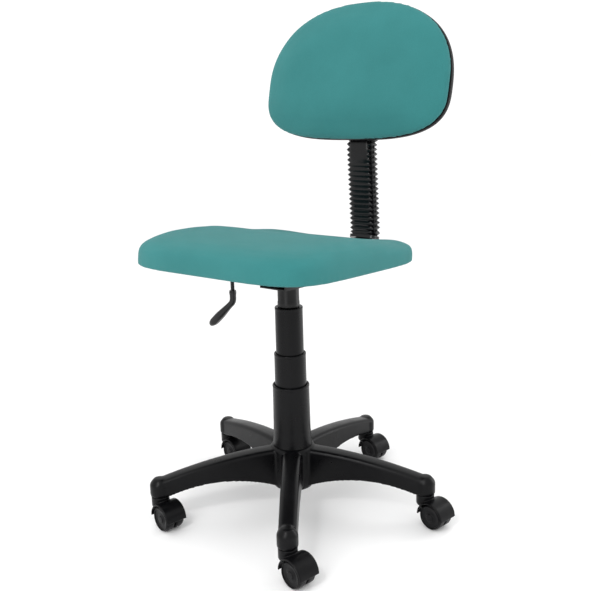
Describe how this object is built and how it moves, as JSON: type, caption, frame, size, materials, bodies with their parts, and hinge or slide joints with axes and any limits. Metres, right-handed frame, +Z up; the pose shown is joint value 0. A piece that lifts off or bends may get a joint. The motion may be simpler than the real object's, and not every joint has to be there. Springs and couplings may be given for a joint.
{
  "type": "swivel office chair",
  "caption": "Armless swivel chair: star base on twin-wheel casters, gas-lift column with telescopic cover, padded seat and a low backrest on a bar in a ribbed sleeve.",
  "frame": {"origin": "on the floor, at the middle of the chair's bounding box", "axes": "+Z up; the chair faces -Y, with the sitter's left hand towards +X"},
  "size_m": [0.591, 0.5732, 0.991],
  "materials": {
    "base_plastic": "moulded black nylon, light grain, satin",
    "cover_plastic": "moulded black, satin",
    "caster_plastic": "moulded black nylon, satin",
    "wheel_plastic": "hard black nylon tread, satin",
    "shell_plastic": "moulded black, fine leather grain",
    "sleeve_plastic": "soft black ribbed sleeve, semi-gloss",
    "knob_plastic": "moulded black, semi-gloss",
    "grey_plastic": "acetal bush",
    "black_steel": "black powder coat",
    "bright_steel": "zinc plated",
    "seat_fabric": "teal woven polyester over foam",
    "back_fabric": "teal woven polyester over foam",
    "dust_cloth": "black non-woven cloth",
    "plywood": "raw birch plywood"
  },
  "bodies": {
    "base": {"star_base": "base_plastic", "column_tube": "black_steel", "guide_bush": "grey_plastic", "cover_lower": "cover_plastic"},
    "rod": {"piston_rod": "bright_steel", "thrust_bearing": "bright_steel", "retaining_clip": "bright_steel"},
    "middle_cover": {"cover_middle": "cover_plastic"},
    "seat_carriage": {"gas_cylinder": "black_steel", "cover_upper": "cover_plastic", "taper_socket": "black_steel", "mechanism_frame": "black_steel", "seat_board": "plywood", "seat_cushion": "seat_fabric", "seat_dust_cover": "dust_cloth", "seat_bolt_1": "bright_steel", "seat_bolt_2": "bright_steel", "seat_bolt_3": "bright_steel", "seat_bolt_4": "bright_steel"},
    "lever": {"lever_rod": "black_steel", "lever_handle": "knob_plastic"},
    "pin": {"release_pin": "bright_steel"},
    "bar": {"back_bar": "black_steel", "bar_sleeve": "sleeve_plastic"},
    "depth_clamp": {"depth_knob": "knob_plastic"},
    "backrest": {"back_cushion": "back_fabric", "back_board": "plywood", "back_shell": "shell_plastic", "back_bracket": "black_steel", "back_screw_1": "bright_steel", "back_screw_2": "bright_steel", "back_screw_3": "bright_steel", "back_screw_4": "bright_steel"},
    "height_clamp": {"height_knob": "knob_plastic"},
    "caster_1": {"caster_1_housing": "caster_plastic", "caster_1_stem": "bright_steel", "caster_1_axle": "bright_steel"},
    "caster_1_left": {"caster_1_wheel_left": "wheel_plastic"},
    "caster_1_right": {"caster_1_wheel_right": "wheel_plastic"},
    "caster_2": {"caster_2_housing": "caster_plastic", "caster_2_stem": "bright_steel", "caster_2_axle": "bright_steel"},
    "caster_2_left": {"caster_2_wheel_left": "wheel_plastic"},
    "caster_2_right": {"caster_2_wheel_right": "wheel_plastic"},
    "caster_3": {"caster_3_housing": "caster_plastic", "caster_3_stem": "bright_steel", "caster_3_axle": "bright_steel"},
    "caster_3_left": {"caster_3_wheel_left": "wheel_plastic"},
    "caster_3_right": {"caster_3_wheel_right": "wheel_plastic"},
    "caster_4": {"caster_4_housing": "caster_plastic", "caster_4_stem": "bright_steel", "caster_4_axle": "bright_steel"},
    "caster_4_left": {"caster_4_wheel_left": "wheel_plastic"},
    "caster_4_right": {"caster_4_wheel_right": "wheel_plastic"},
    "caster_5": {"caster_5_housing": "caster_plastic", "caster_5_stem": "bright_steel", "caster_5_axle": "bright_steel"},
    "caster_5_left": {"caster_5_wheel_left": "wheel_plastic"},
    "caster_5_right": {"caster_5_wheel_right": "wheel_plastic"}
  },
  "joints": [
    {"name": "seat_swivel", "type": "hinge", "parent": "base", "child": "rod", "pos_m": [-0.01999, -0.03612, 0.055], "axis": [0, 0, 1], "continuous": true},
    {"name": "seat_height", "type": "slide", "parent": "rod", "child": "seat_carriage", "axis": [0, 0, 1], "range_m": [-0.12, 0]},
    {"name": "cover_slide", "type": "slide", "parent": "base", "child": "middle_cover", "axis": [0, 0, 1], "range_m": [-0.06, 0]},
    {"name": "lever_lift", "type": "hinge", "parent": "seat_carriage", "child": "lever", "pos_m": [-0.04999, -0.03612, 0.4645], "axis": [0, 1, 0], "range_deg": [0, 6], "stiffness_Nm_per_rad": 1},
    {"name": "pin_press", "type": "slide", "parent": "seat_carriage", "child": "pin", "axis": [0, 0, -1], "range_m": [0, 0.0034]},
    {"name": "back_depth", "type": "slide", "parent": "seat_carriage", "child": "bar", "axis": [0, 0.999, -0.0436], "range_m": [-0.025, 0.025]},
    {"name": "depth_knob_turn", "type": "hinge", "parent": "seat_carriage", "child": "depth_clamp", "pos_m": [-0.01999, 0.03808, 0.4829], "axis": [0, 0.0436, 0.999], "range_deg": [0, 270]},
    {"name": "back_height", "type": "slide", "parent": "bar", "child": "backrest", "axis": [0, 0.2198, 0.9755], "range_m": [-0.05, 0], "deforming": ["bar_sleeve"]},
    {"name": "height_knob_turn", "type": "hinge", "parent": "backrest", "child": "height_clamp", "pos_m": [-0.01999, 0.26002, 0.82485], "axis": [0, -0.9755, 0.2198], "range_deg": [0, 270]},
    {"name": "caster_1_swivel", "type": "hinge", "parent": "base", "child": "caster_1", "pos_m": [0.13834, -0.25483, 0.0605], "axis": [0, 0, 1], "continuous": true},
    {"name": "caster_1_left_roll", "type": "hinge", "parent": "caster_1", "child": "caster_1_left", "pos_m": [0.1639, -0.25956, 0.02469], "axis": [0.1822, 0.9833, 0], "continuous": true},
    {"name": "caster_1_right_roll", "type": "hinge", "parent": "caster_1", "child": "caster_1_right", "pos_m": [0.1639, -0.25956, 0.02469], "axis": [0.1822, 0.9833, 0], "continuous": true},
    {"name": "caster_2_swivel", "type": "hinge", "parent": "base", "child": "caster_2", "pos_m": [0.23694, 0.04687, 0.0605], "axis": [0, 0, 1], "continuous": true},
    {"name": "caster_2_left_roll", "type": "hinge", "parent": "caster_2", "child": "caster_2_left", "pos_m": [0.26251, 0.04213, 0.02469], "axis": [0.1822, 0.9833, 0], "continuous": true},
    {"name": "caster_2_right_roll", "type": "hinge", "parent": "caster_2", "child": "caster_2_right", "pos_m": [0.26251, 0.04213, 0.02469], "axis": [0.1822, 0.9833, 0], "continuous": true},
    {"name": "caster_3_swivel", "type": "hinge", "parent": "base", "child": "caster_3", "pos_m": [-0.01952, 0.23389, 0.0605], "axis": [0, 0, 1], "continuous": true},
    {"name": "caster_3_left_roll", "type": "hinge", "parent": "caster_3", "child": "caster_3_left", "pos_m": [0.00605, 0.22915, 0.02469], "axis": [0.1822, 0.9833, 0], "continuous": true},
    {"name": "caster_3_right_roll", "type": "hinge", "parent": "caster_3", "child": "caster_3_right", "pos_m": [0.00605, 0.22915, 0.02469], "axis": [0.1822, 0.9833, 0], "continuous": true},
    {"name": "caster_4_swivel", "type": "hinge", "parent": "base", "child": "caster_4", "pos_m": [-0.27663, 0.04777, 0.0605], "axis": [0, 0, 1], "continuous": true},
    {"name": "caster_4_left_roll", "type": "hinge", "parent": "caster_4", "child": "caster_4_left", "pos_m": [-0.25106, 0.04303, 0.02469], "axis": [0.1822, 0.9833, 0], "continuous": true},
    {"name": "caster_4_right_roll", "type": "hinge", "parent": "caster_4", "child": "caster_4_right", "pos_m": [-0.25106, 0.04303, 0.02469], "axis": [0.1822, 0.9833, 0], "continuous": true},
    {"name": "caster_5_swivel", "type": "hinge", "parent": "base", "child": "caster_5", "pos_m": [-0.17907, -0.25427, 0.0605], "axis": [0, 0, 1], "continuous": true},
    {"name": "caster_5_left_roll", "type": "hinge", "parent": "caster_5", "child": "caster_5_left", "pos_m": [-0.1535, -0.25901, 0.02469], "axis": [0.1822, 0.9833, 0], "continuous": true},
    {"name": "caster_5_right_roll", "type": "hinge", "parent": "caster_5", "child": "caster_5_right", "pos_m": [-0.1535, -0.25901, 0.02469], "axis": [0.1822, 0.9833, 0], "continuous": true}
  ],
  "couplings": [
    {"joint": "cover_slide", "follows": "seat_height", "ratio": 0.5},
    {"joint": "pin_press", "follows": "lever_lift", "m_per_rad": 0.03}
  ]
}
